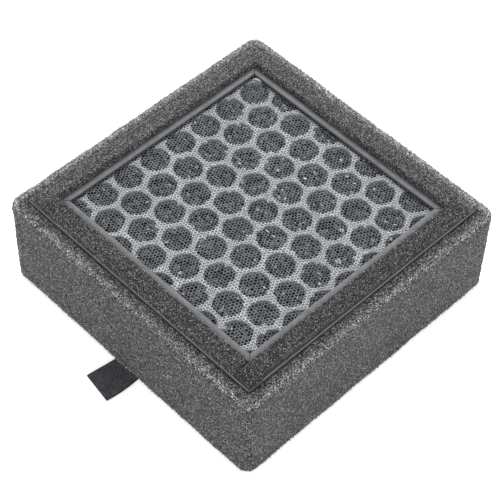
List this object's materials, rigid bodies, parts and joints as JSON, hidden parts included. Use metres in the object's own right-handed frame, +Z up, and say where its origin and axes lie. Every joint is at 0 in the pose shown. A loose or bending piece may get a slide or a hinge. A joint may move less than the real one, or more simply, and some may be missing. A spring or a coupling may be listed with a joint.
{
  "type": "foam-edged filter cartridge",
  "caption": "Square foam-wrapped air filter cartridge: honeycomb carbon stage over a pleated stage, with a foam gasket and a pull tab.",
  "frame": {"origin": "centre of the cartridge's lower (outlet) face, at the middle of the rear net", "axes": "+Z up, out of the honeycomb (inlet) face; the pull tab leaves under the -Y side"},
  "size_m": [0.12, 0.1332, 0.0421],
  "materials": {
    "foam": "open-cell charcoal foam",
    "frame_plastic": "satin grey plastic",
    "net": "fine grey netting",
    "grid_plastic": "matte blue-grey plastic",
    "carbon": "granular activated carbon",
    "pleat_media": "white fibre paper",
    "pleat_band": "off-white card",
    "hot_melt": "translucent hot melt",
    "ribbon": "black webbing"
  },
  "bodies": {
    "cartridge": {"foam_side_wrap": "foam", "gasket_strip_front": "foam", "gasket_strip_right": "foam", "gasket_strip_back": "foam", "gasket_strip_left": "foam", "frame_rail_front": "frame_plastic", "frame_rail_right": "frame_plastic", "frame_rail_back": "frame_plastic", "frame_rail_left": "frame_plastic", "front_net": "net", "honeycomb_grid": "grid_plastic", "carbon_bed": "carbon", "middle_net": "net", "hepa_pleats": "pleat_media", "pleat_band_front": "pleat_band", "pleat_band_right": "pleat_band", "pleat_band_back": "pleat_band", "pleat_band_left": "pleat_band", "rear_net": "net", "sealing_bead_carbon": "hot_melt", "sealing_bead_pleats": "hot_melt", "pull_tab_anchor": "ribbon"},
    "tab": {"pull_tab": "ribbon"}
  },
  "joints": [
    {"name": "tab_fold", "type": "hinge", "parent": "cartridge", "child": "tab", "pos_m": [-0.0004, -0.0606, 0.00025], "axis": [-1, 0, 0], "range_deg": [0, 90]}
  ]
}
